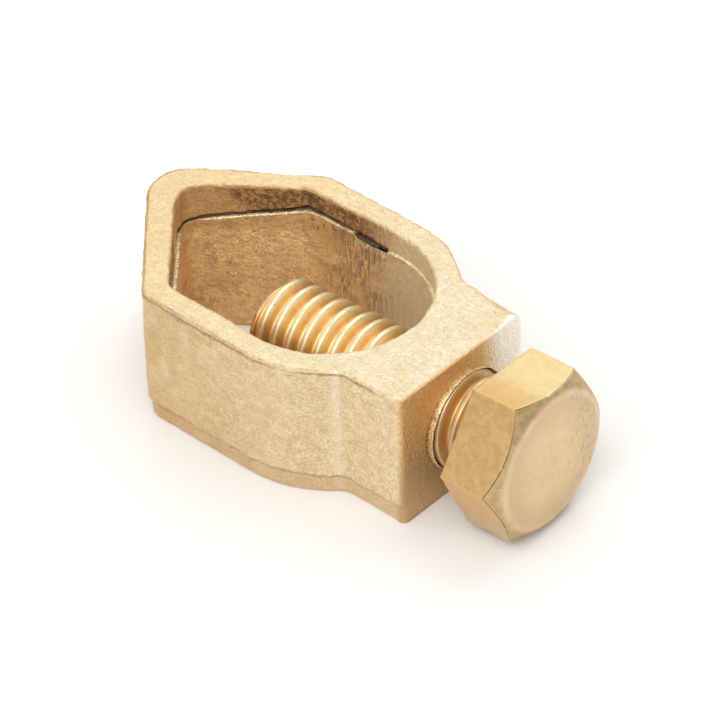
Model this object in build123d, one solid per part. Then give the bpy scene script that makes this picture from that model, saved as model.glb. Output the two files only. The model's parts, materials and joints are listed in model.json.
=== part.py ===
from build123d import *
import math
import os

# Rod and conductor clamp: a cast brass ring with a V seat, and one hex bolt in its boss.
# Millimetres, +Z up. The rod runs through the ring along Z, and +X points from the V seat
# towards the bolt head. The plan is drawn with x = 0 at the sharp outer corner of the V and
# moved at the end, so that the origin is the middle of the base of the whole clamp's box.

# ---- cast body, seen from above ----
HEIGHT = 14.25
LENGTH = 40.0                        # sharp V corner to the flat front of the boss
OUTER_APEX = (0.0, 2.15)
OUTER_NEAR_CORNER = (12.6, -11.7)
OUTER_FAR_CORNER = (13.85, 11.7)
OUTER_END_X = 24.7                   # centre of the round end
OUTER_END_R = 11.7
BOSS_SIDE_X = 28.0                   # the boss starts inside the round end
BOSS_NEAR_Y = -8.0
BOSS_FAR_Y = 8.5
BOSS_FAR_FRONT_Y = 8.05              # its far side draws in towards the front
OUTER_APEX_R = 3.9
OUTER_CORNER_R = 2.0
BOSS_ROOT_R = 2.0
BOSS_CORNER_R = 0.6

# ---- rod opening, at the rim ----
INNER_APEX = (3.8, 1.92)
INNER_NEAR_CORNER = (13.7, -9.15)
INNER_FAR_CORNER = (13.45, 9.15)
INNER_END = (24.5, 0.1)
INNER_END_R = 9.3
INNER_APEX_R = 3.0
INNER_CORNER_R = 1.2
LOWER_CORNER_R = 4.0                 # the same corners below the ledge are softer,
LOWER_APEX_R = 1.5                   # and the V's own corner is tighter
LEAN_TOP = 9.4                       # below this height the far side of the opening leans in,
BASE_APEX = (5.61, -0.1)             # so that at the base the V's two far corners are here
BASE_FAR_CORNER = (15.02, 6.95)

# ---- steps where the two mould halves meet ----
LEDGE = 0.35                         # how far the opening's lower wall stands proud
LEDGE_DEPTH = 2.4                    # below the rim, from the V's corners to the round end
LEDGE_DEPTH_APEX = 4.2               # below the rim, at the bottom of the V
BAND = 1.9                           # height of the outer band above the base
BAND_STEP = 0.35                     # how far that band sits in from the wall above it
RIM_R = 0.3
BASE_R = 0.4

# ---- thread: 3/8 in, 16 threads per inch, right-handed ----
PITCH = 25.4 / 16
MAJOR_R = 4.74
THREAD_DEPTH = 0.97
CREST_FLAT = PITCH / 8
FLANK_TAN = math.tan(math.radians(30))
RADIAL_GAP = 0.07                    # bolt crest to the tapped hole's root
FLANK_GAP = 0.058                    # along the axis, on each flank
TAP_MINOR_R = 3.99
THREAD_START = 26.32                 # below the head, where the die's first groove begins
TAP_FIRST_TURN = 8                   # counted from there
TAP_TURNS = 9
SWEEP_OVER = 0.3                     # how far the cutting profiles run past the metal
MOUTH_R = 4.85                       # the tapped hole opens this far at the boss's front
MOUTH_DEPTH = 0.5
LIP_R = 5.1                          # the burr that the tap has raised round that mouth
LIP_HEIGHT = 0.5
CORE_R = 6.0                         # round core that the tapped hole is made in
CORE_OUT = 1.0                       # how far the core runs out past the boss's front
CORE_IN = 2.0                        # and how far it runs into the ring's opening

# ---- bolt ----
ACROSS_FLATS = 14.29
HEAD_HEIGHT = 5.95
HEAD_FACE_R = 6.65                   # flat circle that the end chamfer leaves
HEAD_CORNER_CUT = 1.2                # height of that chamfer at the hexagon's corners
UNDERHEAD = 26.0
NECK = 0.8                           # plain length under the head
POINT_LENGTH = 0.45                  # turned end ahead of the first thread
POINT_R = 3.75
POINT_END_R = 3.25
POINT_SLOPE = 1.33                   # radius gained per millimetre where the thread starts
HEAD_GAP = 4.0                       # boss face to head, as the clamp stands half open
HEX_TURN = 25.0                      # a corner of the hexagon from straight up
BOLT_YAW = 2.4                       # the hole is drilled slightly askew in the casting
BOLT_TILT = 1.1
BOLT_Y = 0.3                         # where its axis leaves the boss
BOLT_Z = 7.45


def shoulders(face):
    """The two corners where a V's faces meet its straight sides."""
    near, far = INNER_APEX[0] + OUTER_APEX_R, OUTER_END_X - OUTER_APEX_R
    return [v for v in face.vertices() if near < v.X < far and abs(v.Y) > OUTER_END_R / 2]


def outer_face(inset=0.0):
    """The body's outline without the rod opening. The boss's front stays where it is."""
    ring = make_face(
        Polyline(
            OUTER_APEX,
            OUTER_NEAR_CORNER,
            (OUTER_END_X, -OUTER_END_R),
            (OUTER_END_X, OUTER_END_R),
            OUTER_FAR_CORNER,
            close=True,
        )
    )
    ring = offset(ring, amount=-inset, kind=Kind.INTERSECTION) if inset else ring
    ring += Pos(OUTER_END_X, 0) * Circle(OUTER_END_R - inset)
    apex = min(ring.vertices(), key=lambda v: v.X)
    ring = fillet(apex, OUTER_APEX_R - inset)
    ring = fillet(shoulders(ring), OUTER_CORNER_R - inset)
    boss = make_face(
        Polyline(
            (BOSS_SIDE_X, BOSS_NEAR_Y + inset),
            (LENGTH, BOSS_NEAR_Y + inset),
            (LENGTH, BOSS_FAR_FRONT_Y - inset),
            (BOSS_SIDE_X, BOSS_FAR_Y - inset),
            close=True,
        )
    )
    whole = ring + boss
    ring_front = OUTER_END_X + OUTER_END_R
    roots = [v for v in whole.vertices() if BOSS_SIDE_X < v.X < ring_front]
    whole = fillet(roots, BOSS_ROOT_R)
    front = [v for v in whole.vertices() if v.X > LENGTH - BOSS_CORNER_R]
    return fillet(front, BOSS_CORNER_R)


def inner_face(proud=0.0, apex=INNER_APEX, far_corner=INNER_FAR_CORNER):
    """The rod opening: a V seat, two nearly straight sides and a round end."""
    end_x, end_y = INNER_END
    flats = make_face(
        Polyline(
            apex,
            INNER_NEAR_CORNER,
            (end_x, end_y - INNER_END_R),
            (end_x, end_y + INNER_END_R),
            far_corner,
            close=True,
        )
    )
    flats = offset(flats, amount=-proud, kind=Kind.INTERSECTION) if proud else flats
    corner = min(flats.vertices(), key=lambda v: v.X)
    flats = fillet(corner, LOWER_APEX_R if proud else INNER_APEX_R)
    flats = fillet(shoulders(flats), LOWER_CORNER_R if proud else INNER_CORNER_R)
    return flats + Pos(end_x, end_y) * Circle(INNER_END_R - proud)


def lower_opening():
    """The rod opening below the ledge: upright at the top, then leaning in on its far side."""
    top = inner_face(LEDGE)
    base = inner_face(LEDGE, BASE_APEX, BASE_FAR_CORNER)
    leaning = loft([base, Pos(0, 0, LEAN_TOP) * top], ruled=True)
    return leaning + Pos(0, 0, LEAN_TOP) * extrude(top, amount=HEIGHT - LEAN_TOP)


def ledge_cutter():
    """The space above the ledge: level along the sides and falling towards the V corner."""
    corner_x = INNER_FAR_CORNER[0]
    fall = (LEDGE_DEPTH_APEX - LEDGE_DEPTH) / (corner_x - INNER_APEX[0])
    profile = make_face(
        Plane.XZ
        * Polyline(
            (0, HEIGHT - LEDGE_DEPTH - fall * corner_x),
            (corner_x, HEIGHT - LEDGE_DEPTH),
            (LENGTH, HEIGHT - LEDGE_DEPTH),
            (LENGTH, 2 * HEIGHT),
            (0, 2 * HEIGHT),
            close=True,
        )
    )
    return extrude(profile, amount=2 * OUTER_END_R, both=True)


def helical_ridge(profile, length):
    """A closed (radius, height) profile swept up a right-handed helix about +Z."""
    radius = profile[0][0]
    path = Helix(pitch=PITCH, height=length, radius=radius)
    plane = Plane(origin=(radius, 0, 0), x_dir=(1, 0, 0), z_dir=(0, -1, 0))
    face = plane * make_face(Polyline(*[(r - radius, z) for r, z in profile], close=True))
    return sweep(face, path=path, is_frenet=True)


def thread_width(r):
    """How wide the bolt's ridge is at a radius, along the axis."""
    return CREST_FLAT + 2 * (MAJOR_R - r) * FLANK_TAN


def bolt_groove(length):
    """What is cut from a plain shank to leave its thread."""
    root = MAJOR_R - THREAD_DEPTH
    over = MAJOR_R + SWEEP_OVER
    at_root = (PITCH - thread_width(root)) / 2
    at_over = at_root + (over - root) * FLANK_TAN
    profile = [(root, -at_root), (root, at_root), (over, at_over), (over, -at_over)]
    return helical_ridge(profile, length)


def tap_ridge():
    """What a tap cuts outside the drilled hole: the bolt's ridge with its running gap."""
    inner = TAP_MINOR_R - SWEEP_OVER
    outer = MAJOR_R + RADIAL_GAP
    at_inner = thread_width(inner) / 2 + FLANK_GAP
    at_outer = thread_width(outer) / 2 + FLANK_GAP
    profile = [(inner, -at_inner), (inner, at_inner), (outer, at_outer), (outer, -at_outer)]
    start = (TAP_FIRST_TURN + 0.5) * PITCH - THREAD_START
    return Pos(0, 0, start) * helical_ridge(profile, TAP_TURNS * PITCH)


def bolt_axis():
    """Unit vector along the bolt, from the V seat to the head."""
    yaw, tilt = math.radians(BOLT_YAW), math.radians(BOLT_TILT)
    return Vector(math.cos(tilt) * math.cos(yaw), math.cos(tilt) * math.sin(yaw), math.sin(tilt))


def bolt_frame():
    """A plane whose Z is the bolt's axis, with its origin under the head."""
    axis = bolt_axis()
    face_point = Vector(LENGTH, BOLT_Y, BOLT_Z)
    side = Vector(0, -1, 0) - axis * axis.dot(Vector(0, -1, 0))
    return Plane(origin=face_point + axis * HEAD_GAP, x_dir=side.normalized(), z_dir=axis)


def upright(bottom_r, top_r, height):
    """A cone standing on z = 0."""
    return Cone(bottom_r, top_r, height, align=(Align.CENTER, Align.CENTER, Align.MIN))


def pin(radius, length):
    """A round bar standing on z = 0."""
    return Cylinder(radius, length, align=(Align.CENTER, Align.CENTER, Align.MIN))


def clamp_bolt():
    """Hex head and threaded shank, drawn with the head's seat at z = 0 and the shank below."""
    corner_r = ACROSS_FLATS / 2 / math.cos(math.radians(30))
    head = extrude(RegularPolygon(corner_r, 6, rotation=HEX_TURN - 90), amount=HEAD_HEIGHT)
    cone_r = HEAD_FACE_R + (corner_r - HEAD_FACE_R) * HEAD_HEIGHT / HEAD_CORNER_CUT
    head &= upright(cone_r, HEAD_FACE_R, HEAD_HEIGHT)
    length = UNDERHEAD - POINT_LENGTH
    shank = Pos(0, 0, -length) * pin(MAJOR_R, length)
    shank -= Pos(0, 0, -THREAD_START) * bolt_groove(THREAD_START - NECK)
    past_head = length + HEAD_HEIGHT
    shank &= Pos(0, 0, -length) * upright(POINT_R, POINT_R + past_head * POINT_SLOPE, past_head)
    return head + shank


def bolt_point():
    """The turned end of the bolt, which is round, so only its travel shows."""
    return Pos(0, 0, -UNDERHEAD) * upright(POINT_END_R, POINT_R, POINT_LENGTH)


def boss_core():
    """A round core, longer than the boss is thick, that the tapped hole is made in."""
    length = LENGTH - INNER_END[0] - INNER_END_R + CORE_IN + CORE_OUT
    return Pos(0, 0, CORE_OUT - HEAD_GAP - length) * pin(CORE_R, length)


def tapped_core():
    """The same core, drilled and tapped, in the bolt's frame."""
    drill = Cylinder(TAP_MINOR_R, 3 * LENGTH)
    return boss_core() - drill - tap_ridge()


def hole_mouth():
    """The funnel that the tapped hole opens with at the boss's front."""
    funnel = upright(MOUTH_R - MOUTH_DEPTH, MOUTH_R, MOUTH_DEPTH)
    throat = Pos(0, 0, MOUTH_DEPTH) * pin(MOUTH_R, MOUTH_DEPTH)
    return Pos(0, 0, -HEAD_GAP - MOUTH_DEPTH) * (funnel + throat)


def hole_lip():
    """The ring of raised metal round that mouth."""
    height = LIP_HEIGHT + MOUTH_DEPTH / 2
    lip = pin(LIP_R, height) - pin(MOUTH_R, height)
    return Pos(0, 0, LIP_HEIGHT - HEAD_GAP - height) * lip


def clamp_body():
    """The casting: ring, V seat and boss, with the tapped hole through the boss."""
    upper = Pos(0, 0, BAND) * extrude(outer_face(), amount=HEIGHT - BAND)
    upper = fillet(upper.edges().group_by(Axis.Z)[-1], RIM_R)
    lower = extrude(outer_face(BAND_STEP), amount=BAND)
    lower = chamfer(lower.edges().group_by(Axis.Z)[0], BASE_R)
    through = lower_opening()
    wide = extrude(inner_face(), amount=HEIGHT) & ledge_cutter()
    blank = upper + lower - through - wide
    place = bolt_frame().location
    ring = blank - place * boss_core()
    tapped = blank & (place * tapped_core())
    return ring + tapped - place * hole_mouth() + place * hole_lip()


def assembly():
    """Every node in the shared frame, before the move to the final origin."""
    place = bolt_frame().location
    return {
        "clamp_body": clamp_body(),
        "clamp_bolt": place * clamp_bolt(),
        "bolt_point": place * bolt_point(),
    }


def main():
    nodes = assembly()
    boxes = [solid.bounding_box() for solid in nodes.values()]
    low = [min(getattr(box.min, c) for box in boxes) for c in "XYZ"]
    high = [max(getattr(box.max, c) for box in boxes) for c in "XYZ"]
    to_origin = Pos(-(low[0] + high[0]) / 2, -(low[1] + high[1]) / 2, -low[2])
    os.makedirs("parts", exist_ok=True)
    axis = bolt_axis()
    seat = to_origin * Pos(*bolt_frame().origin)
    print("origin shift", [round(c, 4) for c in to_origin.position])
    print("bolt axis", [round(c, 6) for c in axis], "through", [round(c, 4) for c in seat.position])
    for name, solid in nodes.items():
        export_step(to_origin * solid, f"parts/{name}.step")


main()
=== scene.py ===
import json
import math

import bmesh
import bpy
import numpy as np
from mathutils import Matrix, Vector


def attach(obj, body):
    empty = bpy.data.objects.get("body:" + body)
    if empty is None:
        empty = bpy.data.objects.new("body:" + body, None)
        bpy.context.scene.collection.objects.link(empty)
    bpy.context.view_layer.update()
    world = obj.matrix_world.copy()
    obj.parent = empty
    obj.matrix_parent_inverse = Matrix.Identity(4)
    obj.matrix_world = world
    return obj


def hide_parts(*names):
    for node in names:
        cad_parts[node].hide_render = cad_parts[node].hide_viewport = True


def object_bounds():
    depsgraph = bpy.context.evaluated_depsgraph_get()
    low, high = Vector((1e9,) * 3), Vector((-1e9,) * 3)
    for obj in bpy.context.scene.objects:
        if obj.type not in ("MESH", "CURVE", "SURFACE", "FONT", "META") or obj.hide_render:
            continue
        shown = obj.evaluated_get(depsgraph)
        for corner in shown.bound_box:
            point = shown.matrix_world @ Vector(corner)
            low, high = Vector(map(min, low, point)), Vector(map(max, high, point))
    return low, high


# A sand-cast brass ground clamp with a machined hex bolt. The casting is rebuilt as a fine grid
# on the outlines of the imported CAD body, the bolt as turned and threaded grids on its axis.
# Lengths are millimetres in the frame's own axes until a mesh is made.

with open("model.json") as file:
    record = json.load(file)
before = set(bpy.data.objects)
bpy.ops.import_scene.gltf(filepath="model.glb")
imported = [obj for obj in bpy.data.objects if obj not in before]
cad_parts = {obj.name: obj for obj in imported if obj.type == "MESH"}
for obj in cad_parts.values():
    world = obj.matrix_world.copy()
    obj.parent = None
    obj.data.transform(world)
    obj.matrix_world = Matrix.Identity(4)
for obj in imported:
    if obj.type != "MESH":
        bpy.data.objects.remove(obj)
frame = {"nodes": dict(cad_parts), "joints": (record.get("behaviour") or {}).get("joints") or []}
cad_low, cad_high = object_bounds()
MM = 0.001
SEED = 7
NOISE_CELLS = 61                     # the noise repeats after this many of its own lumps

# ---- camera: a long lens, a little off level ----
AZIMUTH = 43.437
ELEVATION = 40.135
ROLL = -1.808
DISTANCE = 401.55
LENS = 225.0
SENSOR = 36.0
TARGET = (1.701, 0.192, 7.3)

# ---- studio ----
WORLD_COLOR = (1.0, 0.985, 0.96, 1.0)
WORLD_STRENGTH = 0.76
LIGHT_AIM = (0, 0, 5)
FLOOR_HALF = 700
FLOOR_DROP = 0.02                    # the floor lies this far under the base, clear of it

# ---- casting: where the CAD body's outlines are read ----
HEIGHT = 14.25
BODY_CENTRE = (-2.1, 0.0)            # inside the ring: rays from here meet the bore first, the outside last
COLUMNS = 620
V_CORNER_X = -12.6
V_APEX_X = -22.3
UPPER_CUT = 13.0                     # above the ledge
SHELF_CUT = 9.8                      # under the ledge
LOWER_CUT = 1.0                      # under the outer step
FOOT_CUT = 0.2                       # at the base
LEAN_TOP = 9.4                       # below this the opening's far side leans in
TAPPED_X = 2.0                       # beyond this and within TAPPED_Y either way, the cut under
TAPPED_Y = 7.0                       # the ledge can meet the tapped hole instead of the bore

# ---- casting: edges, step, seam ----
BASE_R = 0.4                         # outer edge at the base
FOOT_R = 0.35                        # inner edge at the base
RIM_R = 0.24
FRONT_RIM_R = 0.14                   # on the boss's front
FAR_RIM_R = 0.7                      # on the boss's far side
INNER_RIM_R = 0.34
FAR_BULGE = 0.42                     # the boss's far side swells out under its rim
FAR_BOSS = (8.0, 5.0)                # X and Y where that side begins
FAR_BOSS_BLEND = (3.5, 3.0)
FRONT_X = 13.75                      # beyond this the boss's front is machined flat
FRONT_BLEND = 0.3
STEP_TOP = 1.9                       # where the outer wall steps out, at the boss
STEP_FALL = 0.35                     # it is this much lower at the V,
STEP_FALL_X = V_CORNER_X + 8         # falling from this X
STEP_FALL_RUN = 14.0                 # over this length
STEP_BELOW = 0.3                     # it begins this far under that line
STEP_RISE = 0.75                     # and takes this much height
STEP_GROOVE = 0.13
BAND_MARGIN = 0.2
SEAM_WIDTH = 0.42                    # of the broken line under the outer rim
SEAM_DEPTH = 0.22
SEAM_MARGIN = 0.12

# ---- casting: the ledge inside the ring ----
LEDGE_DEPTH = 2.4
LEDGE_DEPTH_APEX = 4.2
JUT = 0.55                           # the ledge is this much of its CAD width on the far wall
JUT_X = (-10.5, 4.0)                 # from this X on, over this length
NOSE = 0.5                           # height of the ledge's rounded front
LEDGE_TILT = 0.03
LEDGE_RAGGED = 0.16
SLIT = 0.34                          # height and depth of the crevice over the ledge
SLIT_NEAR = 0.5                      # share of that depth on the near side
SLIT_LEAST = 0.12                    # and where it is shallowest
# down the crevice: height above the ledge, share of its depth
SLIT_PROFILE = ((0.26, 0.1), (0.21, 0.8), (0.12, 1.0), (0.05, 0.95), (0.01, 0.45))
# across the ledge: share of its width, strength of the painted highlight on its edge, strength of the
# painted shade
LEDGE_PROFILE = ((0.12, 0.2, 0.8), (0.3, 0.7, 0.3), (0.6, 1.0, 0.0), (1.0, 1.0, 0.0))
VOID_X = (-7.1, -3.0)                # a shrinkage hole above the ledge, on the far wall
VOID_ENDS = (0.35, 0.3)              # lengths over which its two ends taper
VOID_DEPTH = 1.1
VOID_DROP = 0.46                     # it eats this far down into the ledge
VOID_BITE = 0.45                     # and takes this share of the ledge's width

# ---- casting: its surface ----
MILLED = 0.93                        # share of the sand's roughness that milling took off the front
CALM = 0.8                           # share that is missing on the ledge, the step and the seam
TOP_CALM = 0.35                      # and on the top
PIT_LEVEL = 0.62                     # the higher, the fewer pits
PIT_DEPTH = 0.30
CRINKLE = 0.045
BASE_FLAT = 0.6                      # the base is flat, up to a height of this

# ---- the tapped hole's mouth ----
HOLE_R = 4.80
HOLE_DEPTH = 13.0                    # how far the cutter reaches from the head's seat
MOUTH_FLARE = 0.1
LIP_R = 4.88
LIP_HEIGHT = 0.68
LIP_THICK = 0.10
LIP_COLUMNS = 420
# round the burr's section: share of its thickness outward, share of its height
LIP_PROFILE = (
    *((0.6, -0.3), (0.55, 0.25), (0.5, 0.8), (0.2, 1.0)),
    *((-0.3, 0.95), (-0.5, 0.6), (-0.6, -0.3)),
)

# ---- bolt, along its own axis with the head's seat at 0 ----
HEAD_GAP = 4.0                       # from the head's seat to the boss
ACROSS_FLATS = 14.29
SIDE = 60.0                          # degrees that one side of the hexagon takes
HEAD_HEIGHT = 5.95
FACE_R = 6.65
FACE_OUT = 0.25                      # the chamfer eases into the end face from this far outside
FACE_IN = 0.35                       # FACE_R to this far inside
CHAMFER_SLOPE = 0.76                 # height lost per millimetre of radius
HEX_TURN = 25.0
HEX_CORNER_R = 0.22
SEAT_R = 0.16                        # radius of the edge under the head
ARC_WIDTH = 0.1                      # worn edge where the chamfer meets a side
HUB_R = 0.05                         # the smallest ring of a closed end
HEAD_DISH = 0.05
NICK_LEVEL = 0.5                     # the higher, the fewer nicks
NICK_DEPTH = 0.14
SHADED_TURN = -0.35                    # bearing of the head's half in painted shade, in radians
PITCH = 25.4 / 16
MAJOR_R = 4.74
THREAD_DEPTH = 0.93
THREAD_START = 26.32
THREAD_COLUMNS = 208
THREAD_ROW = 0.062
CREST_HALF = 0.14                    # half the crest's flat
FLANK = 0.60                         # from there to the root
TIP_EASE = 0.12                      # where the thread meets the end's cone
FOLD = 0.11                          # a rolling fold this far off the crest's middle
FOLD_WIDTH = 0.07
FOLD_DEPTH = 0.014
UNDERHEAD = 26.0
HEAD_OVERLAP = 0.35                  # the shank reaches this far into the head
NECK = 0.8
RUN_OUT = 0.9
POINT_LENGTH = 0.45
POINT_R = 3.75
POINT_END_R = 3.25
POINT_SLOPE = 1.33
POINT_COLUMNS = 160
# the lathe's steps on the end: radius lost, height above the end
POINT_STEPS = (
    *((0.02, 0.40), (0.10, 0.36), (0.13, 0.30), (0.11, 0.25)),
    *((0.24, 0.21), (0.27, 0.15), (0.25, 0.10)),
)
DISH = 0.05
DISH_RINGS = 9.0                     # radians of ripple per millimetre


def smooth(x):
    """0 to 1 as x goes from 0 to 1, level at both ends."""
    x = np.clip(x, 0, 1)
    return x * x * (3 - 2 * x)


def noise(points, size, seed):
    """Smooth noise from -1 to 1 at (..., 3) points, in lumps of the given size or sizes."""
    table = np.random.default_rng(SEED + seed).uniform(-1, 1, (NOISE_CELLS,) * 3)
    scaled = np.asarray(points, float) / np.asarray(size, float)
    cell = np.floor(scaled).astype(int)
    part = smooth(scaled - cell)
    total = np.zeros(scaled.shape[:-1])
    for corner in np.ndindex(2, 2, 2):
        weight = np.prod(np.where(corner, part, 1 - part), axis=-1)
        index = (cell + corner) % NOISE_CELLS
        total += weight * table[index[..., 0], index[..., 1], index[..., 2]]
    return total


def uneven(points, *waves):
    """Noise added up from waves, each of them (depth, size, seed)."""
    return sum(depth * noise(points, size, seed) for depth, size, seed in waves)


def bearings(columns):
    """Bearings spaced evenly round a full turn, in radians."""
    return np.linspace(0, 2 * math.pi, columns + 1)[:-1]


def unit_ring(turn):
    """Points of the unit circle at the given bearings."""
    return np.stack([np.cos(turn), np.sin(turn)], 1)


def level(points, height):
    """Plan points at a height, as one row of a grid."""
    return np.column_stack([points, np.broadcast_to(height, len(points))])


def grid_normals(grid):
    """Unit normals of a (rows, columns, 3) grid that closes on itself along its columns."""
    across = np.roll(grid, -1, 1) - np.roll(grid, 1, 1)
    along = np.gradient(grid, axis=0)
    normal = np.cross(across, along)
    return normal / np.maximum(np.linalg.norm(normal, axis=-1, keepdims=True), 1e-9)


def grid_mesh(name, grid, closed_rows=False, caps=False, attributes=None):
    """An object from a (rows, columns, 3) grid in millimetres, closed round its columns."""
    rows, columns = grid.shape[:2]
    index = np.arange(rows * columns).reshape(rows, columns)
    low = index if closed_rows else index[:-1]
    high = np.roll(index, -1, 0) if closed_rows else index[1:]
    quads = np.stack([low, np.roll(low, -1, 1), np.roll(high, -1, 1), high], -1).reshape(-1, 4)
    faces = [tuple(q) for q in quads.tolist()]
    if caps:
        faces += [tuple(index[0][::-1].tolist()), tuple(index[-1].tolist())]
    mesh = bpy.data.meshes.new(name)
    mesh.from_pydata((grid.reshape(-1, 3) * MM).tolist(), [], faces)
    for key, values in (attributes or {}).items():
        layer = mesh.attributes.new(key, "FLOAT", "POINT")
        spread = np.broadcast_to(values, (rows, columns)).astype(np.float32)
        layer.data.foreach_set("value", np.ascontiguousarray(spread).ravel())
    mesh.shade_smooth()
    piece = bpy.data.objects.new(name, mesh)
    bpy.context.scene.collection.objects.link(piece)
    return piece


# ---------------------------------------------------------------- casting


def cut_edges(node, height):
    """Both ends, in plan, of each edge where a level plane cuts a CAD node."""
    work = bmesh.new()
    work.from_mesh(frame["nodes"][node].data)
    cut = bmesh.ops.bisect_plane(
        work,
        geom=work.verts[:] + work.edges[:] + work.faces[:],
        plane_co=(0, 0, height * MM),
        plane_no=(0, 0, 1),
    )
    edges = [e for e in cut["geom_cut"] if isinstance(e, bmesh.types.BMEdge)]
    ends = np.array([[(v.co.x / MM, v.co.y / MM) for v in e.verts] for e in edges])
    work.free()
    return ends


def wall_hits(height, angles):
    """Where rays from the body's centre first and last cross the casting at a height."""
    ends = cut_edges("clamp_body", height) - BODY_CENTRE
    start, edge = ends[:, 0], ends[:, 1] - ends[:, 0]
    ray = unit_ring(angles)
    tiny = 1e-6
    with np.errstate(divide="ignore", invalid="ignore"):
        cross = np.outer(ray[:, 0], edge[:, 1]) - np.outer(ray[:, 1], edge[:, 0])
        reach = (start[:, 0] * edge[:, 1] - start[:, 1] * edge[:, 0]) / cross
        share = (np.outer(ray[:, 1], start[:, 0]) - np.outer(ray[:, 0], start[:, 1])) / cross
        met = (reach > 0) & (share > -tiny) & (share < 1 + tiny)
    first = np.where(met, reach, np.inf).min(1)
    last = np.where(met, reach, 0).max(1)
    return ray * first[:, None] + BODY_CENTRE, ray * last[:, None] + BODY_CENTRE


def loop_normals(points):
    """Outward unit normals along a closed line of plan points, eased over a few columns."""
    tangent = np.roll(points, -1, 0) - np.roll(points, 1, 0)
    normal = np.stack([tangent[:, 1], -tangent[:, 0]], 1)
    normal /= np.linalg.norm(normal, axis=1, keepdims=True)
    eased = sum(np.roll(normal, k, 0) for k in range(-2, 3))
    return eased / np.linalg.norm(eased, axis=1, keepdims=True)


def column_angles():
    """Bearings that space the columns evenly along both walls together."""
    fine = np.linspace(-math.pi, math.pi, 5001)[:-1]
    steps = sum(np.linalg.norm(np.roll(w, -1, 0) - w, axis=1) for w in wall_hits(UPPER_CUT, fine))
    run = np.concatenate([[0], np.cumsum(steps)])
    wanted = np.linspace(0, run[-1], COLUMNS + 1)[:-1]
    return np.interp(wanted, run, np.append(fine, math.pi))


def ledge_height(x):
    """Height of the ledge inside the ring: level, then falling towards the V's apex."""
    fall = (LEDGE_DEPTH_APEX - LEDGE_DEPTH) / (V_CORNER_X - V_APEX_X)
    return HEIGHT - LEDGE_DEPTH - fall * np.clip(V_CORNER_X - x, 0, None)


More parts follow.
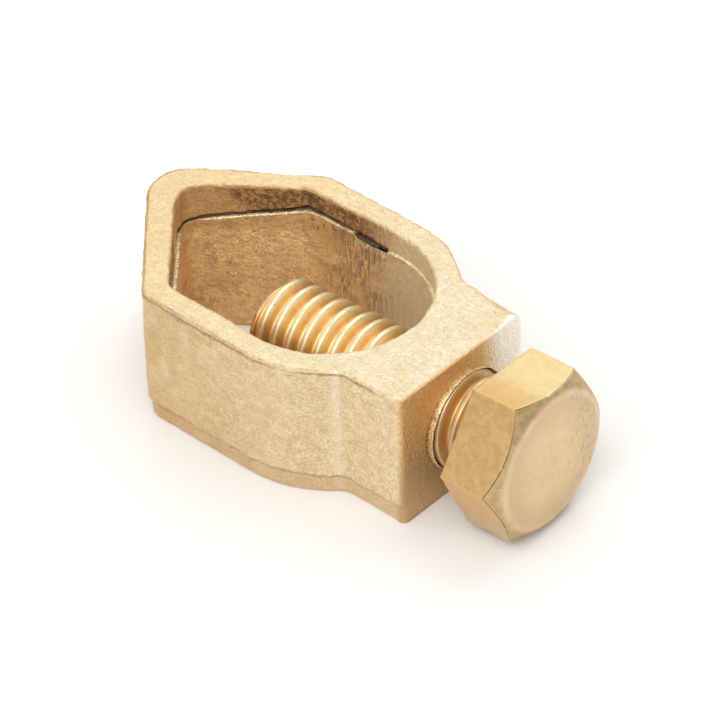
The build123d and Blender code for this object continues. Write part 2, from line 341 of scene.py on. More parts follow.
class Section:
    """The casting's section all round the ring, as rows of points and what surface each row is.

    The rows go up the outer wall, over the top, down the bore and back along the underside.
    """

    MASKS = ("outside", "top", "inside", "above", "soot", "lip", "step", "seam")

    def __init__(self):
        self.rows, self.kinds = [], []
        self.read_outlines()
        self.outer_wall()
        self.seam_and_rim()
        self.top_face()
        self.upper_bore()
        self.crevice()
        self.ledge()
        self.lower_bore()
        self.underside()

    def add(self, points, height, **kind):
        self.rows.append(level(points, height))
        self.kinds.append(kind)

    def grid(self):
        """All rows in one grid, and the masks of its surfaces."""
        columns = len(self.wall)
        masks = {
            key: np.stack([np.broadcast_to(kind.get(key, 0.0), columns) for kind in self.kinds])
            for key in self.MASKS
        }
        masks["front"] = self.front * masks["outside"]
        return np.stack(self.rows), masks

    def read_outlines(self):
        """The walls in plan, and where along them the boss's front and far side are."""
        angles = column_angles()
        self.bore, self.wall = wall_hits(UPPER_CUT, angles)
        self.foot = wall_hits(FOOT_CUT, angles)[0]
        tapped = (self.bore[:, :1] > TAPPED_X) & (np.abs(self.bore[:, 1:]) < TAPPED_Y)
        self.shelf = np.where(tapped, self.foot, wall_hits(SHELF_CUT, angles)[0])
        self.out, self.into = loop_normals(self.wall), loop_normals(self.bore)
        x, y = self.wall.T
        self.front = smooth((x - FRONT_X + FRONT_BLEND) / FRONT_BLEND)
        self.sand = 1 - self.front
        self.far_boss = smooth((x - FAR_BOSS[0]) / FAR_BOSS_BLEND[0])
        self.far_boss *= smooth((y - FAR_BOSS[1]) / FAR_BOSS_BLEND[1])
        rim_r = RIM_R + (FRONT_RIM_R - RIM_R) * self.front
        self.rim_r = rim_r + (FAR_RIM_R - rim_r) * self.far_boss
        self.bulge = np.zeros_like(self.wall)
        self.bulge[:, 1] = FAR_BULGE * self.far_boss
        self.band = wall_hits(LOWER_CUT, angles)[1] + self.bulge
        self.base_r = (BASE_R * self.sand)[:, None]

    def outer_wall(self):
        """The band at the base, the step above it and the plain wall up to the seam."""
        for t in np.linspace(0, 1, 5):
            turn = t * math.pi / 2
            place = self.band - self.out * self.base_r * (1 - math.sin(turn))
            self.add(place, self.base_r[:, 0] * (1 - math.cos(turn)), outside=1)
        ragged = uneven(level(self.wall, 0.0), (0.12, 1.3, 11), (0.07, 0.45, 12))
        step_z = ragged + STEP_TOP - STEP_FALL * smooth((STEP_FALL_X - self.wall[:, 0]) / STEP_FALL_RUN)
        for t in np.linspace(0.15, 0.85, 6):
            self.add(self.band, BASE_R + (step_z - BASE_R - BAND_MARGIN) * t, outside=1)
        plain = self.wall + self.bulge
        for t in np.linspace(0, 1, 11):
            groove = -STEP_GROOVE * math.sin(math.pi * min(1.0, 1.5 * t)) * self.sand[:, None]
            place = self.band + (plain - self.band) * smooth(t) + self.out * groove
            line = math.sin(math.pi * t) ** 0.6
            self.add(place, step_z - STEP_BELOW + STEP_RISE * t, outside=1, step=line)
        low = step_z - STEP_BELOW + STEP_RISE
        high = HEIGHT - self.rim_r - SEAM_WIDTH - SEAM_MARGIN
        for t in np.linspace(0.02, 1, 52):
            self.add(plain, low + (high - low) * t, outside=1)

    def seam_and_rim(self):
        """A broken seam where the mould's halves met, then the ragged outer rim. The seam's mask carries a
        painted shade.
        """
        spot = level(self.wall, HEIGHT)
        open_seam = smooth(noise(spot, 4.0, 13) * 1.3 + 0.85) * self.sand
        wave = uneven(spot, (0.20, 1.7, 14), (0.14, 0.6, 15)) * self.sand
        rim_low = HEIGHT - self.rim_r
        for t in np.linspace(0, 1, 8):
            sunk = math.sin(math.pi * t) ** 2 * open_seam
            height = rim_low - SEAM_WIDTH * (1 - t) + wave * (1 - 0.5 * t)
            place = self.wall + self.bulge * (1 - 0.3 * t) - self.out * (SEAM_DEPTH * sunk)[:, None]
            self.add(place, height, outside=1, seam=sunk)
        ragged = uneven(spot, (0.15, 1.4, 18), (0.10, 0.5, 19)) * self.sand
        for t in np.linspace(0.1, 1, 7):
            turn = t * math.pi / 2
            inset = self.rim_r * (1 - math.cos(turn)) + ragged * math.sin(math.pi * t)
            place = self.wall + self.bulge * 0.7 * (1 - math.sin(turn)) - self.out * inset[:, None]
            self.add(place, rim_low + self.rim_r * math.sin(turn), outside=1)

    def top_face(self):
        """The top, then the inner rim's rounding down into the bore."""
        wave = uneven(level(self.bore, HEIGHT), (0.07, 1.1, 16), (0.04, 0.45, 17))
        start = self.wall - self.out * (self.rim_r + 0.1 * self.far_boss)[:, None]
        end = self.bore + self.into * (INNER_RIM_R + wave)[:, None]
        for t in np.linspace(0.03, 0.97, 40):
            self.add(start + (end - start) * t, HEIGHT, top=1)
        for t in np.linspace(0, 1, 6):
            turn = t * math.pi / 2
            inset = INNER_RIM_R * (1 - math.sin(turn)) + wave * math.cos(turn)
            height = HEIGHT - INNER_RIM_R * (1 - math.cos(turn))
            self.add(self.bore + self.into * inset[:, None], height, top=1 - t, inside=t)

    def upper_bore(self):
        """The bore from the rim down to the crevice over the ledge."""
        x, y = self.bore.T
        spot = level(self.bore, 0.0)
        self.jag = uneven(spot, (1.0, 0.6, 21), (0.5, 0.28, 22))
        self.ledge_z = ledge_height(x) + 0.16 * noise(spot, 3.5, 23) + 0.05 * self.jag
        self.far = (y > 0).astype(float)
        ends = smooth((x - VOID_X[0]) / VOID_ENDS[0]) * smooth((VOID_X[1] - x) / VOID_ENDS[1])
        self.hollow = self.far * ends
        high = HEIGHT - INNER_RIM_R
        low = self.ledge_z + SLIT + 0.1 * self.hollow
        for t in np.linspace(0.06, 1, 10):
            self.add(self.bore, high + (low - high) * t, inside=1, above=1)

    def crevice(self):
        """A slit over the ledge, wide open where the void is, with a painted shade in it."""
        x = self.bore[:, 0]
        slit = self.far * smooth((VOID_X[0] - x) / 3 + 0.3) + (1 - self.far) * SLIT_NEAR
        slit = np.clip(slit, SLIT_LEAST, 1) * (1 - self.hollow)
        depth = SLIT * slit * (1 + 0.3 * self.jag) + (VOID_DEPTH + 0.15 * self.jag) * self.hollow
        drop = (VOID_DROP + LEDGE_RAGGED * self.jag) * self.hollow
        self.dark = np.clip(slit + self.hollow, 0, 1)
        self.shelf_z = self.ledge_z - drop
        for lift, share in SLIT_PROFILE:
            place = self.bore + self.into * (depth * share)[:, None]
            height = self.ledge_z + lift - drop * (1 - lift / SLIT)
            self.add(place, height, inside=1, above=1, soot=share * self.dark)

    def toward_lower(self, height, reach):
        """Part of the way from the rim's wall to the lower wall, which leans in to the base."""
        share = np.clip((height - FOOT_CUT) / (LEAN_TOP - FOOT_CUT), 0, 1)
        lower = self.foot + (self.shelf - self.foot) * share[:, None]
        return self.bore + (lower - self.bore) * reach[:, None]

    def ledge(self):
        """The ledge, ragged and bitten away at the void, and its rounded front."""
        along_far = self.far * smooth((self.bore[:, 0] - JUT_X[0]) / JUT_X[1])
        self.jut = 1 - (1 - JUT) * along_far
        missing = np.clip(self.hollow * 1.2, 0, 1) * VOID_BITE
        solid = 1 - 0.75 * self.hollow
        for share, bright, grime in LEDGE_PROFILE:
            reach = share * (self.jut - missing + LEDGE_RAGGED * self.jag)
            # painted shade on the shelf by the crevice and in the void
            soot = np.maximum(grime * self.dark, self.hollow * (1 - 0.6 * share))
            height = self.shelf_z - LEDGE_TILT * share
            self.add(self.toward_lower(height, reach), height, inside=1, lip=bright * solid, soot=soot)
        for t in np.linspace(0.12, 1, 7):
            reach = self.jut - (missing - LEDGE_RAGGED * self.jag) * (1 - t)
            height = self.shelf_z - LEDGE_TILT - NOSE * t
            self.add(self.toward_lower(height, reach), height, inside=1, lip=max(0.0, 1 - 3 * t) * solid)

    def lower_bore(self):
        """From the ledge down to the rounded edge at the base."""
        high = self.shelf_z - LEDGE_TILT - NOSE
        for t in np.linspace(0.02, 1, 52):
            reach = self.jut + (1 - self.jut) * smooth(3 * t)
            height = high + (FOOT_R - high) * t
            self.add(self.toward_lower(height, reach), height, inside=1)
        for t in np.linspace(0.2, 1, 5):
            turn = t * math.pi / 2
            place = self.foot + self.into * FOOT_R * (1 - math.cos(turn))
            self.add(place, FOOT_R * (1 - math.sin(turn)), inside=1 - t)

    def underside(self):
        start = self.foot + self.into * FOOT_R
        end = self.band - self.out * self.base_r
        for t in np.linspace(0.06, 0.94, 14):
            self.add(start + (end - start) * t, 0.0, outside=1)


def roughened(grid, masks):
    """The casting's surface as the sand left it: out of true, lumpy, grained and pitted."""
    top, inside = masks["top"], masks["inside"]
    milled = 1 - MILLED * masks["front"]
    calm = 1 - CALM * np.clip(masks["lip"] + masks["soot"] + masks["step"] + masks["seam"], 0, 1)
    shift = uneven(grid, (0.085, 7.0, 31), (0.045, 2.4, 32))
    shift += 0.030 * noise(grid, 0.85, 33) * calm
    shift += (0.026 + 0.012 * top) * noise(grid, (0.48, 0.48, 0.40), 34) * calm
    shift *= 1 - TOP_CALM * top
    crowd = smooth(noise(grid, 3.0, 36) + 0.3)
    pits = np.clip(noise(grid, 0.34, 35) - PIT_LEVEL, 0, 1) * inside * calm * crowd
    shift -= PIT_DEPTH * pits
    crinkle = 1 - 2 * np.abs(noise(grid, (0.9, 0.5, 0.5), 37))
    shift += CRINKLE * crinkle * top * calm
    moved = grid + grid_normals(grid) * (shift * milled)[..., None]
    # the base stays flat
    rise = smooth(grid[..., 2] / BASE_FLAT)
    moved[..., 2] = np.where(rise < 1, np.maximum(moved[..., 2], grid[..., 2] * rise), moved[..., 2])
    return moved, pits


def bolt_matrix():
    """From the bolt's own axes (z outward, head's seat at 0) to the frame's."""
    hinge = next(j for j in frame["joints"] if j["type"] == "hinge")
    z = Vector(hinge["axis"]).normalized()
    side = Vector((0, -1, 0))
    x = (side - z * z.dot(side)).normalized()
    turn = Matrix((x, z.cross(x), z)).transposed().to_4x4()
    return Matrix.Translation(Vector(hinge["pos_m"])) @ turn


def bore_cutter():
    """A bar along the bolt's axis that opens the boss's hole, flared at its mouth."""
    ring = unit_ring(bearings(128))
    profile = ((HOLE_R, -HOLE_DEPTH), (HOLE_R, -HEAD_GAP - 0.3), (HOLE_R + MOUTH_FLARE, 0.0))
    rows = [level(ring * radius, z) for radius, z in profile]
    cutter = grid_mesh("bore_cutter", np.stack(rows), caps=True)
    cutter.data.transform(bolt_matrix())
    return cutter


def build_casting():
    """The ring, V seat and boss in one piece, with the bolt's hole through the boss."""
    grid, masks = Section().grid()
    grid, masks["pits"] = roughened(grid, masks)
    casting = grid_mesh("casting", grid, closed_rows=True, attributes=masks)
    cutter = bore_cutter()
    cut = casting.modifiers.new("bore", "BOOLEAN")
    cut.operation = "DIFFERENCE"
    cut.solver = "MANIFOLD"
    cut.object = cutter
    bpy.context.view_layer.objects.active = casting
    bpy.ops.object.modifier_apply(modifier=cut.name)
    bpy.data.objects.remove(cutter)
    casting.data.shade_smooth()
    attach(casting, "body")
    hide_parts("clamp_body")
    return casting


def build_lip():
    """The ragged burr that the tap raised round the hole's mouth."""
    ring = unit_ring(bearings(LIP_COLUMNS))
    spot = level(ring * LIP_R, 0.0)
    jag = uneven(spot, (1.0, 0.42, 41), (0.6, 0.2, 42))
    swell = noise(spot, 3.0, 43)
    height = LIP_HEIGHT * (0.72 + 0.28 * swell) + 0.07 * jag
    radius = LIP_R + 0.05 * swell + 0.035 * jag
    thick = LIP_THICK + 0.035 * noise(spot, 0.6, 44)
    rows = []
    for out, rise in LIP_PROFILE:
        rows.append(level(ring * (radius + thick * out)[:, None], height * rise - HEAD_GAP))
    lip = grid_mesh("mouth_burr", np.stack(rows), closed_rows=True)
    lip.data.transform(bolt_matrix())
    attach(lip, "body")
    return lip


# ---------------------------------------------------------------- bolt


def hex_section():
    """Bearings round the head and the hexagon's radius at each, corners rounded."""
    flat_r = ACROSS_FLATS / 2
    half = SIDE / 2
    corner_at = (flat_r - HEX_CORNER_R) / math.cos(math.radians(half))
    edge = half - math.degrees(math.asin(HEX_CORNER_R / 2 / flat_r))
    along_side = np.linspace(-edge, edge, 57)
    round_corner = np.linspace(edge, SIDE - edge, 9)[1:-1]
    within = np.concatenate([along_side, round_corner])
    bearing = (np.arange(6)[:, None] * SIDE + within[None, :]).ravel()
    off = (bearing + half) % SIDE - half
    radius = flat_r / np.cos(np.radians(off))
    from_corner = np.radians(half - np.abs(off))
    sideways = corner_at * np.sin(from_corner)
    arc = corner_at * np.cos(from_corner) + np.sqrt(np.maximum(HEX_CORNER_R**2 - sideways**2, 0))
    return np.radians(bearing + HEX_TURN - SIDE), np.where(np.abs(off) > edge, arc, radius)


def head_rows():
    """The head from its seat to the middle of its end face, and what surface each row is."""
    turn, hexagon = hex_section()
    ring = unit_ring(turn)
    edge_z = HEAD_HEIGHT - (hexagon - FACE_R) * CHAMFER_SLOPE
    rows, kinds = [], []

    def add(radius, z, **kind):
        rows.append(level(ring * np.broadcast_to(radius, turn.shape)[:, None], z))
        kinds.append(kind)

    for t in np.linspace(0.0, 1, 10):
        add(HUB_R + (hexagon - SEAT_R - HUB_R) * t, 0.0)
    for t in np.linspace(0.2, 1, 5):
        bend = t * math.pi / 2
        add(hexagon - SEAT_R * (1 - math.sin(bend)), SEAT_R * (1 - math.cos(bend)), edge=1)
    for t in np.linspace(0.03, 0.97, 34):
        add(hexagon, SEAT_R + (edge_z - ARC_WIDTH - SEAT_R) * t)
    for t in np.linspace(0, 1, 5):
        z = edge_z - ARC_WIDTH * (1 - t) + ARC_WIDTH * CHAMFER_SLOPE * t * t
        add(hexagon - ARC_WIDTH * t * t, z, edge=1, arc=math.sin(math.pi * t) ** 0.5)
    start, end = hexagon - ARC_WIDTH, FACE_R + FACE_OUT
    for t in np.linspace(0.1, 1, 9):
        radius = start + (end - start) * t
        add(radius, HEAD_HEIGHT - (radius - FACE_R) * CHAMFER_SLOPE, chamfer=1)
    for t in np.linspace(0.2, 1, 5):
        z = HEAD_HEIGHT - FACE_OUT * CHAMFER_SLOPE * (1 - t) ** 2
        add(end - (FACE_OUT + FACE_IN) * t, z, face=t, chamfer=1 - t)
    for t in np.linspace(0.04, 1, 30):
        add((FACE_R - FACE_IN) * (1 - t) + HUB_R * t, HEAD_HEIGHT, face=1)
    names = ("face", "chamfer", "edge", "arc")
    masks = {key: np.array([kind.get(key, 0.0) for kind in kinds])[:, None] for key in names}
    # the half of the sides that gets a painted shade
    masks["shaded_half"] = smooth((np.cos(turn - SHADED_TURN) - 0.2) / 0.5)[None, :]
    return np.stack(rows), masks


def build_head():
    """The hexagon with its turned end chamfer, eased edges and small nicks."""
    grid, masks = head_rows()
    reach = np.linalg.norm(grid[..., :2], axis=-1)
    rim = np.exp(-(((reach - FACE_R + 0.1) / 0.35) ** 2))
    nick = np.clip(noise(grid, 0.55, 53) - NICK_LEVEL, 0, 1) * masks.pop("edge")
    shift = uneven(grid, (0.028, 3.2, 51), (0.010, 0.9, 52)) - NICK_DEPTH * nick
    shift -= HEAD_DISH * masks["face"] * smooth(1 - reach / FACE_R)
    grid = grid + grid_normals(grid) * shift[..., None]
    # the painted shade along the arc is stronger on the half in painted shade
    masks["arc"] = masks["arc"] * (0.35 + 0.65 * masks["shaded_half"])
    # where the end face's rim gets its painted highlight
    masks["rim"] = rim * (grid[..., 2] > HEAD_HEIGHT - 1.0)
    masks["outer"] = np.linalg.norm(grid[..., :2], axis=-1) / FACE_R
    masks["nick"] = nick
    head = grid_mesh("bolt_head", grid, caps=True, attributes=masks)
    head.data.transform(bolt_matrix())
    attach(head, "bolt")
    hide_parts("clamp_bolt")
    return head


def round_grid(radius, turn, z):
    """Grid points at a radius and bearing round the bolt's axis, z along it."""
    return np.stack(np.broadcast_arrays(radius * np.cos(turn), radius * np.sin(turn), z), -1)


def build_thread():
    """The threaded shank: one right-handed helix, in phase with the CAD thread."""
    turn = bearings(THREAD_COLUMNS)[None, :]
    length = UNDERHEAD - POINT_LENGTH
    z = np.arange(-length, HEAD_OVERLAP, THREAD_ROW)[:, None]
    phase = ((z + THREAD_START) / PITCH - turn / (2 * math.pi)) % 1
    off_crest = np.abs(phase - 0.5) * PITCH
    crest = 1 - smooth((off_crest - CREST_HALF) / FLANK)
    fade = smooth((-NECK - z) / RUN_OUT)
    radius = MAJOR_R - THREAD_DEPTH * fade * (1 - crest)
    cone = POINT_R + (z + length) * POINT_SLOPE
    blend = TIP_EASE / 4 * np.exp(-(((radius - cone) / TIP_EASE) ** 2))
    radius = np.minimum(radius, cone) - blend
    grid = round_grid(radius, turn, z)
    worn = uneven(grid, (0.014, (1.2, 1.2, 0.5), 61), (0.006, 0.35, 62))
    fold = np.exp(-(((off_crest - FOLD) / FOLD_WIDTH) ** 2)) * (0.6 + 0.4 * noise(grid, 2.0, 63))
    grid = round_grid(radius + worn - FOLD_DEPTH * fold * fade, turn, z)
    thread = grid_mesh("bolt_thread", grid, caps=True, attributes={"crest": crest * fade})
    thread.data.transform(bolt_matrix())
    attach(thread, "bolt")
    return thread


def build_point():
    """The turned end: fine steps from the lathe, then a dished face."""
    ring = unit_ring(bearings(POINT_COLUMNS))
    section = [(POINT_R, POINT_LENGTH)]
    section += [(POINT_R - loss, height) for loss, height in POINT_STEPS]
    section += [(POINT_END_R + 0.10, 0.04), (POINT_END_R, 0.0)]
    dished = np.linspace(POINT_END_R - 0.2, 0.1, 40)
    section += [(radius, DISH * (1 + math.cos(radius * DISH_RINGS))) for radius in dished]
    rows = [level(ring * radius, height - UNDERHEAD) for radius, height in section]
    point = grid_mesh("bolt_end", np.stack(rows)[::-1], caps=True)
    point.data.transform(bolt_matrix())
    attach(point, "bolt_travel")
    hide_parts("bolt_point")
    return point


# ---------------------------------------------------------------- materials


class Shader:
    """A node material under construction."""

    def __init__(self, name):
        self.material = bpy.data.materials.new(name)
        self.material.use_nodes = True
        self.tree = self.material.node_tree
        self.surface = self.tree.nodes["Principled BSDF"]
        self.place = self.add("ShaderNodeTexCoord").outputs["Object"]

    def add(self, kind, inputs=None, **settings):
        node = self.tree.nodes.new(kind)
        for key, value in settings.items():
            setattr(node, key, value)
        for key, value in (inputs or {}).items():
            self.feed(node.inputs[key], value)
        return node

    def feed(self, socket, value):
        if isinstance(value, bpy.types.NodeSocket):
            self.tree.links.new(value, socket)
        else:
            socket.default_value = value

    def noise(self, size, detail=3.0, rough=0.55, distort=0.0, stretch=(1, 1, 1)):
        """Noise with features of about the given size in millimetres."""
        scale = tuple(1 / (size * MM * s) for s in stretch)
        spot = self.add("ShaderNodeMapping", {"Vector": self.place, "Scale": scale})
        settings = {"Vector": spot.outputs[0], "Scale": 1.0, "Detail": detail, "Roughness": rough}
        return self.add("ShaderNodeTexNoise", {**settings, "Distortion": distort}).outputs["Fac"]

    def mask(self, name):
        """One of the mesh's own attributes."""
        return self.add("ShaderNodeAttribute", attribute_name=name).outputs["Fac"]

    def span(self, value, low, high, to_low=0.0, to_high=1.0):
        """The value's range from low to high, mapped and clamped."""
        inputs = {0: value, 1: low, 2: high, 3: to_low, 4: to_high}
        return self.add("ShaderNodeMapRange", inputs, interpolation_type="SMOOTHSTEP").outputs[0]

    def along(self, axis, low, high, to_low=0.0, to_high=1.0):
        """A span along one of the frame's axes, from low to high millimetres."""
        place = self.add("ShaderNodeSeparateXYZ", {0: self.place}).outputs[axis]
        return self.span(place, low * MM, high * MM, to_low, to_high)

    def math(self, operation, a, b):
        return self.add("ShaderNodeMath", {0: a, 1: b}, operation=operation).outputs[0]

    def times(self, a, b):
        return self.math("MULTIPLY", a, b)

    def mix(self, share, a, b):
        """Colour a to colour b by share."""
        node = self.add("ShaderNodeMix", data_type="RGBA")
        for key, value in ((0, share), (6, a), (7, b)):
            if isinstance(value, tuple) and len(value) == 3:
                value = (*value, 1.0)
            self.feed(node.inputs[key], value)
        return node.outputs[2]

    def bump(self, height, distance, strength, normal=None):
        inputs = {"Height": height, "Distance": distance * MM, "Strength": strength}
        if normal is not None:
            inputs["Normal"] = normal
        return self.add("ShaderNodeBump", inputs).outputs[0]

    def finish(self, color, rough, normal, metallic):
        self.feed(self.surface.inputs["Base Color"], color)
        self.feed(self.surface.inputs["Roughness"], rough)
        self.feed(self.surface.inputs["Normal"], normal)
        self.feed(self.surface.inputs["Metallic"], metallic)
        return self.material


def cast_outside(s, sand, fibre, cloud):
    """The casting's outer colour: sandy walls and a crinkled top, paler towards the boss."""
    brown, pale = (0.56, 0.37, 0.17), (1.0, 0.86, 0.58)
    top = s.mask("top")
    walls = s.math("SUBTRACT", 1.0, top)
    toward_boss = s.along("X", -22, 14)
    wall = s.mix(toward_boss, (0.68, 0.475, 0.24), (0.94, 0.80, 0.53))
    face = s.mix(toward_boss, (0.96, 0.775, 0.455), (0.95, 0.89, 0.69))
    color = s.mix(top, wall, face)
    grit = s.mix(top, (0.52, 0.33, 0.14), (0.84, 0.63, 0.35))
    color = s.mix(s.span(sand, 0.34, 0.66, 0.0, 0.55), color, grit)
    # painted shade in the top's crinkle creases, following the bump's fibre noise
    crease_shade = s.times(s.span(fibre, 0.50, 0.34), s.span(top, 0.0, 1.0, 0.35, 0.62))
    color = s.mix(crease_shade, color, s.mix(top, (0.62, 0.42, 0.19), (0.80, 0.60, 0.33)))
    color = s.mix(s.span(cloud, 0.42, 0.66, 0.0, 0.3), color, (0.84, 0.64, 0.40))
    patch = s.noise(1.3, 4, 0.6, distort=0.2, stretch=(1.0, 1.0, 0.75))
    color = s.mix(s.times(s.span(patch, 0.46, 0.74, 0.0, 0.32), walls), color, brown)
    color = s.mix(s.times(s.span(patch, 0.54, 0.28, 0.0, 0.26), walls), color, pale)
    # a painted highlight at the near root of the boss
    root = s.times(s.along("X", 5.9, 6.7), s.along("X", 7.3, 6.8))
    root = s.times(root, s.along("Y", -6.0, -7.5, 0.0, 0.36))
    color = s.mix(s.times(root, walls), color, (0.97, 0.89, 0.77))
    # the base band, a painted shade along the line of its step and a painted shade in the seam under the
    # rim
    base_band = s.times(s.along("Z", 2.1, 1.3, 0.0, 0.35), s.mask("outside"))
    color = s.mix(base_band, color, (0.60, 0.40, 0.22))
    # painted shade along the step's groove
    step_shade = s.times(s.mask("step"), s.span(fibre, 0.3, 0.6, 0.85, 0.55))
    color = s.mix(step_shade, color, (0.50, 0.30, 0.145))
    # painted shade in the seam's groove under the rim
    seam = s.times(s.mask("seam"), s.span(fibre, 0.40, 0.60, 0.95, 0.42))
    return s.mix(seam, color, (0.40, 0.275, 0.12))


def cast_inside(s, cloud):
    """The ring's inner colour: golden brown, streaked and stained, darkest above the ledge."""
    bright, dull = (1.0, 0.73, 0.38), (0.86, 0.575, 0.27)
    grain = s.noise(0.42, 4, 0.62, distort=0.5, stretch=(1.3, 1.3, 0.8))
    color = s.mix(s.span(grain, 0.36, 0.62), dull, bright)
    speck = s.span(s.noise(0.2, 3, 0.65), 0.56, 0.72, 0.0, 0.7)
    color = s.mix(speck, color, (0.42, 0.26, 0.12))
    # a painted light: the inner wall paler from X -7 mm towards the boss
    color = s.mix(s.along("X", -7, 0, 0.0, 0.9), color, (1.0, 0.89, 0.66))
    v_half = s.along("X", -1, -6)
    smear = s.span(s.noise(2.2, 4, 0.6, distort=0.8, stretch=(1.0, 1.0, 0.6)), 0.46, 0.66, 0.0, 0.5)
    color = s.mix(s.times(smear, v_half), color, (0.50, 0.34, 0.20))
    # upright streaks, strongest on the far side near the bolt's end
    streak = s.noise(0.6, 4, 0.68, distort=0.3, stretch=(0.4, 0.4, 3.6))
    stain = s.times(s.span(streak, 0.42, 0.60), s.span(s.noise(4.5, 2), 0.36, 0.54))
    strength = s.span(s.times(s.along("X", -12, -7), v_half), 0.0, 1.0, 0.15, 0.85)
    color = s.mix(s.times(stain, strength), color, (0.36, 0.25, 0.16))
    # grime above the ledge
    ruddy = s.mix(s.span(s.noise(0.45, 4, 0.7), 0.42, 0.60), (0.26, 0.155, 0.08), (0.66, 0.42, 0.21))
    darkest = s.times(s.along("X", -19, -14), s.along("X", -4, -9))
    grime = s.span(s.math("ADD", s.times(darkest, 0.45), cloud), 0.42, 0.85, 0.15, 1.0)
    grime = s.times(grime, s.along("X", -1, -7, 0.12, 1.0))
    return s.mix(s.mask("above"), color, s.mix(grime, color, ruddy))


def boss_front(s):
    """The milled front: golden near the top, a painted shadow of the head low down, a painted highlight on
    the far side.
    """
    milled = s.noise(0.3, 4, 0.65, distort=0.3, stretch=(3.0, 1.0, 1.0))
    color = s.mix(s.span(milled, 0.35, 0.65), (0.72, 0.46, 0.20), (0.86, 0.58, 0.28))
    # painted shadow of the head, low down
    color = s.mix(s.along("Z", 11, 4, 0.0, 0.65), color, (0.50, 0.34, 0.19))
    # painted highlight on the far side
    return s.mix(s.along("Y", 2.2, 5.6), color, (1.0, 0.94, 0.82))


def cast_brass():
    """Sand-cast brass: sandy outside, browner and stained inside the ring."""
    s = Shader("cast brass")
    sand = s.noise(0.24, 4, 0.6)
    fibre = s.noise(0.5, 4, 0.62, distort=1.2, stretch=(1.5, 0.8, 1.0))
    cloud = s.noise(3.5, 3, 0.5)
    lip, front = s.mask("lip"), s.mask("front")
    color = s.mix(s.mask("inside"), cast_outside(s, sand, fibre, cloud), cast_inside(s, cloud))
    # a painted highlight along the ledge's edge
    color = s.mix(lip, color, (1.0, 0.87, 0.57))
    color = s.mix(s.span(s.mask("pits"), 0.02, 0.16, 0.0, 0.8), color, (0.24, 0.15, 0.08))
    # painted shade in the crevice over the ledge and in the void, weaker on the near side
    soot = s.times(s.mask("soot"), s.along("Y", -2.5, 0.5, 0.4, 1.0))
    color = s.mix(soot, color, (0.012, 0.009, 0.008))
    color = s.mix(front, color, boss_front(s))
    rough = s.math("SUBTRACT", s.span(fibre, 0.3, 0.7, 0.42, 0.58), s.times(lip, 0.22))
    grain = s.bump(sand, 0.14, s.span(front, 0.0, 1.0, 0.8, 0.35))
    return s.finish(color, rough, s.bump(fibre, 0.24, 0.6, grain), metallic=0.86)


def torn_brass():
    """The same brass where the tap tore it bright."""
    s = Shader("torn brass")
    fleck = s.noise(0.18, 4, 0.65)
    color = s.mix(s.span(fleck, 0.36, 0.6), (0.55, 0.36, 0.16), (0.98, 0.84, 0.56))
    return s.finish(color, s.span(fleck, 0.3, 0.7, 0.25, 0.5), s.bump(fleck, 0.05, 0.5), metallic=0.9)


def head_brass():
    """Machined brass, mottled by handling and storage, with painted shade and painted highlight."""
    s = Shader("head brass")
    mottle = s.noise(0.7, 5, 0.65, distort=0.5)
    drift = s.noise(3.0, 3, 0.55)
    speck = s.noise(0.2, 3, 0.6)
    rub = s.noise(0.4, 4, 0.7, stretch=(1.0, 1.0, 2.4))
    mottled = s.span(mottle, 0.36, 0.64)
    face = s.mask("face")
    # the six sides: a painted shade on one half and a painted shade underneath
    plain = s.mix(mottled, (0.785, 0.61, 0.305), (0.835, 0.665, 0.355))
    shaded_half = s.mix(mottled, (0.66, 0.425, 0.18), (0.735, 0.48, 0.212))
    side = s.mix(s.mask("shaded_half"), plain, shaded_half)
    # painted shade on the lower sides
    side = s.mix(s.along("Z", 5.0, 3.0, 0.0, 0.5), side, (0.56, 0.45, 0.32))
    # the end face, duller towards its edge
    end = s.mix(mottled, (0.69, 0.50, 0.28), (0.77, 0.58, 0.345))
    end = s.mix(s.span(drift, 0.44, 0.60, 0.0, 0.55), end, (0.80, 0.585, 0.37))
    end = s.mix(s.span(s.mask("outer"), 0.35, 1.0, 0.0, 0.55), end, (0.57, 0.42, 0.26))
    color = s.mix(face, side, end)
    olive = s.mix(s.span(mottle, 0.4, 0.6), (0.48, 0.34, 0.17), (0.62, 0.455, 0.235))
    color = s.mix(s.mask("chamfer"), color, olive)
    # a painted highlight on the end face's rim; wear: specks, grey scuffs and bright nicks; a painted shade
    # along the arcs
    rim_highlight = s.times(s.mask("rim"), s.span(drift, 0.35, 0.6, 0.35, 0.8))
    color = s.mix(rim_highlight, color, (0.80, 0.60, 0.42))
    color = s.mix(s.span(speck, 0.60, 0.75, 0.0, 0.45), color, (0.40, 0.28, 0.16))
    scuff = s.times(s.span(rub, 0.50, 0.60), s.times(s.along("Y", 1.5, 6.0), face))
    color = s.mix(s.times(scuff, 0.6), color, (0.36, 0.32, 0.30))
    # painted shade along the arc where the chamfer meets a side
    color = s.mix(s.times(s.mask("arc"), 0.85), color, (0.20, 0.125, 0.06))
    color = s.mix(s.span(s.mask("nick"), 0.02, 0.2, 0.0, 0.35), color, (0.90, 0.72, 0.42))
    rough = s.math("ADD", s.span(mottle, 0.3, 0.7, 0.32, 0.46), s.span(speck, 0.4, 0.7, 0.0, 0.08))
    return s.finish(color, rough, s.bump(mottle, 0.05, 0.3, s.bump(speck, 0.02, 0.4)), metallic=0.95)


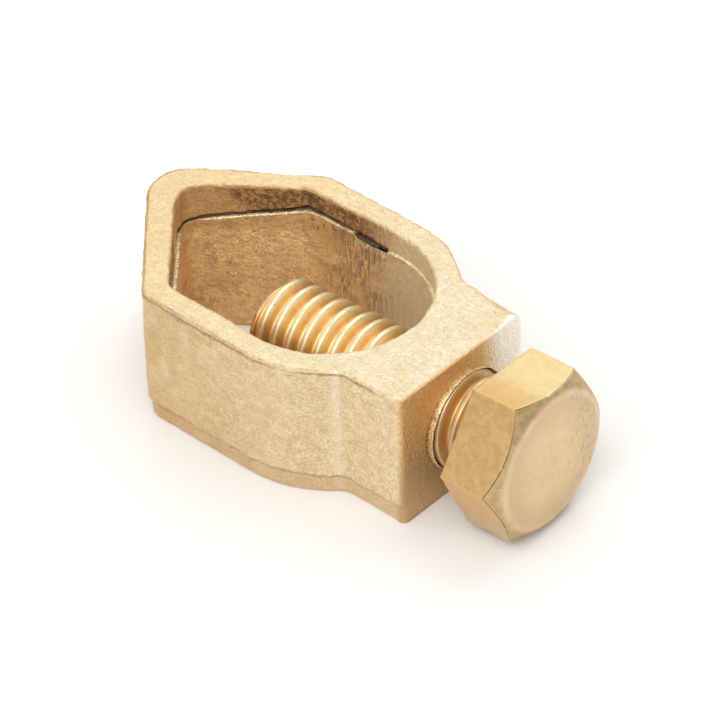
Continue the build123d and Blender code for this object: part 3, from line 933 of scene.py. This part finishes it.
def thread_brass():
    """Rolled thread: painted highlight on pale crests, painted shade in amber roots, towards both sides and
    by the head.
    """
    s = Shader("thread brass")
    turned = s.noise(0.45, 4, 0.6)
    mottle = s.noise(1.4, 3, 0.55)
    # painted shade in the roots and a painted highlight on the crests
    root = s.mix(s.span(mottle, 0.4, 0.6), (0.86, 0.57, 0.25), (0.94, 0.67, 0.33))
    crest = s.mix(s.span(turned, 0.35, 0.65), (0.96, 0.78, 0.47), (1.0, 0.90, 0.64))
    color = s.mix(s.span(s.mask("crest"), 0.25, 0.9), root, crest)
    color = s.mix(s.span(s.noise(0.3, 3, 0.6), 0.62, 0.75, 0.0, 0.5), color, (0.32, 0.19, 0.09))
    # painted shade towards both sides of the bolt, leaving a lit band along it
    sides_shade = s.math("ADD", s.along("Y", 0.6, 3.6, 0.0, 0.62), s.along("Y", -3.0, -4.5, 0.0, 0.6))
    color = s.mix(sides_shade, color, (0.56, 0.35, 0.14))
    # painted shade on the thread in the gap between the boss and the head
    gap_shade = s.along("X", 11, 13.5, 0.0, 0.6)
    color = s.mix(gap_shade, color, (0.56, 0.36, 0.16))
    return s.finish(color, s.span(turned, 0.3, 0.7, 0.40, 0.52), s.bump(turned, 0.02, 0.3), metallic=1.0)


def point_brass():
    """Turned end, a little browner than the thread."""
    s = Shader("turned end")
    turned = s.noise(0.4, 4, 0.6)
    color = s.mix(s.span(turned, 0.35, 0.65), (0.74, 0.47, 0.18), (0.95, 0.74, 0.42))
    return s.finish(color, s.span(turned, 0.3, 0.7, 0.2, 0.35), s.bump(turned, 0.02, 0.3), metallic=1.0)


def dress(piece, material):
    piece.data.materials.clear()
    piece.data.materials.append(material)


# ---------------------------------------------------------------- stage


def add_camera():
    az, el, roll = (math.radians(a) for a in (AZIMUTH, ELEVATION, ROLL))
    back = Vector((math.sin(az) * math.cos(el), -math.cos(az) * math.cos(el), math.sin(el)))
    level_right = Vector((math.cos(az), math.sin(az), 0))
    level_up = back.cross(level_right)
    right = level_right * math.cos(roll) + level_up * math.sin(roll)
    up = back.cross(right)
    data = bpy.data.cameras.new("camera")
    data.lens = LENS
    data.sensor_width = SENSOR
    data.clip_start = 10 * MM
    camera = bpy.data.objects.new("camera", data)
    turn = Matrix((right, up, back)).transposed().to_4x4()
    camera.matrix_world = Matrix.Translation((Vector(TARGET) + back * DISTANCE) * MM) @ turn
    bpy.context.scene.collection.objects.link(camera)
    bpy.context.scene.camera = camera


def add_softbox(name, place, width, height, power):
    """A rectangular light at a place in millimetres, facing the clamp."""
    data = bpy.data.lights.new(name, "AREA")
    data.shape = "RECTANGLE"
    data.size, data.size_y = width * MM, height * MM
    data.energy = power
    light = bpy.data.objects.new(name, data)
    place, aim = Vector(place) * MM, Vector(LIGHT_AIM) * MM
    turn = (place - aim).to_track_quat("Z", "Y").to_matrix().to_4x4()
    light.matrix_world = Matrix.Translation(place) @ turn
    bpy.context.scene.collection.objects.link(light)


def add_floor():
    half = FLOOR_HALF * MM
    z = cad_low.z - FLOOR_DROP * MM
    mesh = bpy.data.meshes.new("floor")
    corners = [(-half, -half, z), (half, -half, z), (half, half, z), (-half, half, z)]
    mesh.from_pydata(corners, [], [(0, 1, 2, 3)])
    floor = bpy.data.objects.new("floor", mesh)
    bpy.context.scene.collection.objects.link(floor)
    s = Shader("pale floor")
    faint = s.noise(30.0, 2, 0.5)
    color = s.mix(s.span(faint, 0.3, 0.7), (0.93, 0.93, 0.93), (0.95, 0.95, 0.95))
    dress(floor, s.finish(color, 0.9, s.bump(faint, 0.1, 0.1), metallic=0.0))


def add_world():
    world = bpy.data.worlds.new("studio")
    bpy.context.scene.world = world
    world.use_nodes = True
    background = world.node_tree.nodes["Background"]
    background.inputs["Color"].default_value = WORLD_COLOR
    background.inputs["Strength"].default_value = WORLD_STRENGTH


def main():
    add_camera()
    cast = cast_brass()
    dress(build_casting(), cast)
    dress(build_lip(), torn_brass())
    dress(build_head(), head_brass())
    dress(build_thread(), thread_brass())
    dress(build_point(), point_brass())
    for node in frame["nodes"].values():
        dress(node, cast)
    add_floor()
    add_world()
    add_softbox("key", place=(-60, 160, 260), width=260, height=200, power=0.2)
    add_softbox("fill", place=(60, -165, 260), width=200, height=200, power=0.40)
    bpy.context.scene.view_settings.view_transform = "Standard"


main()
